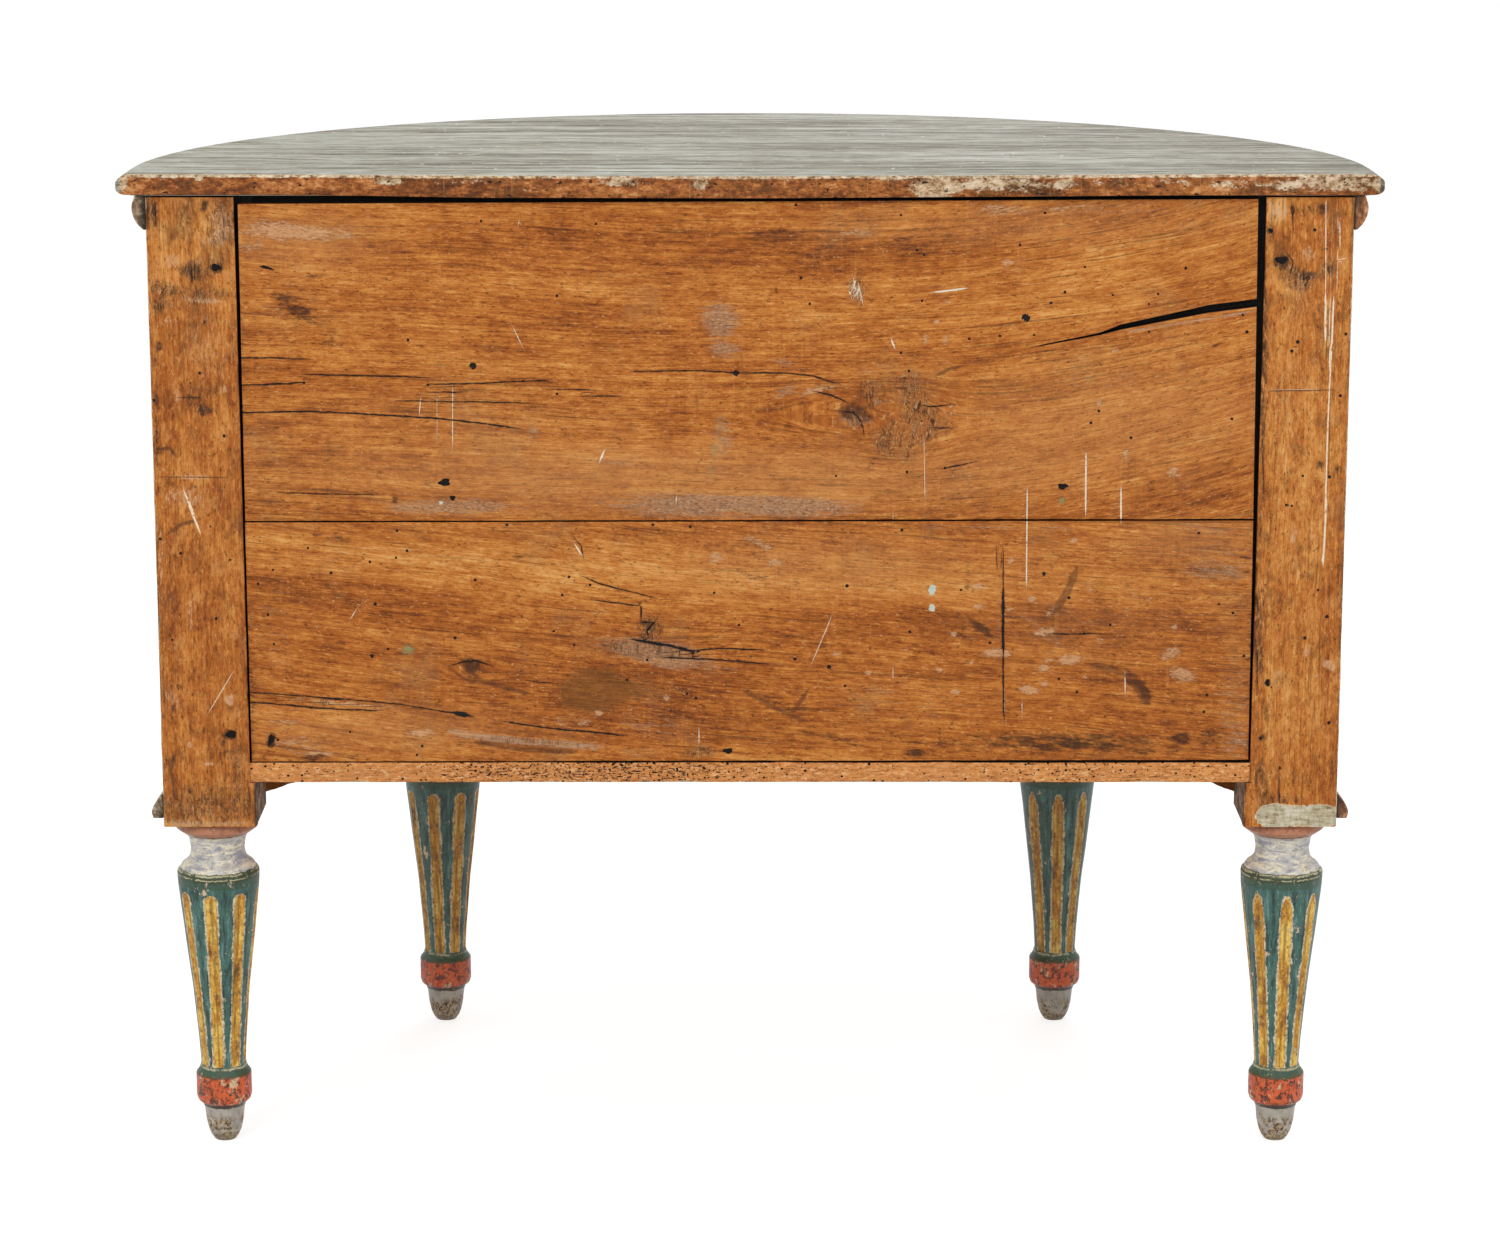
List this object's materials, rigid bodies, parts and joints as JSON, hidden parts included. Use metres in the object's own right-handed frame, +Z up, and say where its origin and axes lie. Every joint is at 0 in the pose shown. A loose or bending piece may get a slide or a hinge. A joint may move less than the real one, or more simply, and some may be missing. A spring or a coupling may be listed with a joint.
{
  "type": "chest of drawers",
  "caption": "Half-round wooden chest with bow-fronted drawers, a bare pine back between square posts, and turned, fluted, painted legs.",
  "frame": {"origin": "on the floor under the middle of the top's bounding box", "axes": "+Z up, +Y towards the flat back, -Y towards the drawers, +X to the right of someone who faces the drawers"},
  "size_m": [1.12, 0.588, 0.909],
  "materials": {
    "top_paint": "worn grey paint on wood",
    "body_paint": "worn pale grey paint on wood",
    "leg_paint": "worn polychrome paint on wood",
    "old_pine": "bare aged pine",
    "brass": "dulled, lightly worn"
  },
  "bodies": {
    "carcass": {"back_board_lower": "old_pine", "back_board_upper": "old_pine", "base_moulding_front": "body_paint", "base_moulding_left": "body_paint", "base_moulding_right": "body_paint", "bottom_board": "old_pine", "bottom_rail_front": "body_paint", "cornice_moulding_front": "body_paint", "cornice_moulding_left": "body_paint", "cornice_moulding_right": "body_paint", "front_post_left": "body_paint", "front_post_right": "body_paint", "kicker_left": "old_pine", "kicker_right": "old_pine", "leg_front_left": "leg_paint", "leg_front_right": "leg_paint", "leg_rear_left": "leg_paint", "leg_rear_right": "leg_paint", "lower_guide_left": "old_pine", "lower_guide_right": "old_pine", "lower_stop_left": "old_pine", "lower_stop_right": "old_pine", "mid_rail_front": "body_paint", "mid_runner_left": "old_pine", "mid_runner_right": "old_pine", "rear_post_left": "old_pine", "rear_post_right": "old_pine", "rear_top_rail": "old_pine", "side_bottom_rail_left": "old_pine", "side_bottom_rail_right": "old_pine", "side_panel_left": "body_paint", "side_panel_right": "body_paint", "side_top_rail_left": "old_pine", "side_top_rail_right": "old_pine", "top_board": "top_paint", "top_rail_front": "body_paint", "upper_guide_left": "old_pine", "upper_guide_right": "old_pine", "upper_stop_left": "old_pine", "upper_stop_right": "old_pine"},
    "upper_drawer": {"upper_drawer_back": "old_pine", "upper_drawer_bottom": "old_pine", "upper_drawer_front": "body_paint", "upper_drawer_side_left": "old_pine", "upper_drawer_side_right": "old_pine", "upper_knob_left": "brass", "upper_knob_right": "brass"},
    "lower_drawer": {"lower_drawer_back": "old_pine", "lower_drawer_bottom": "old_pine", "lower_drawer_front": "body_paint", "lower_drawer_side_left": "old_pine", "lower_drawer_side_right": "old_pine", "lower_knob_left": "brass", "lower_knob_right": "brass"}
  },
  "joints": [
    {"name": "upper_drawer_slide", "type": "slide", "parent": "carcass", "child": "upper_drawer", "axis": [0, -1, 0], "range_m": [0, 0.35]},
    {"name": "lower_drawer_slide", "type": "slide", "parent": "carcass", "child": "lower_drawer", "axis": [0, -1, 0], "range_m": [0, 0.35]}
  ]
}
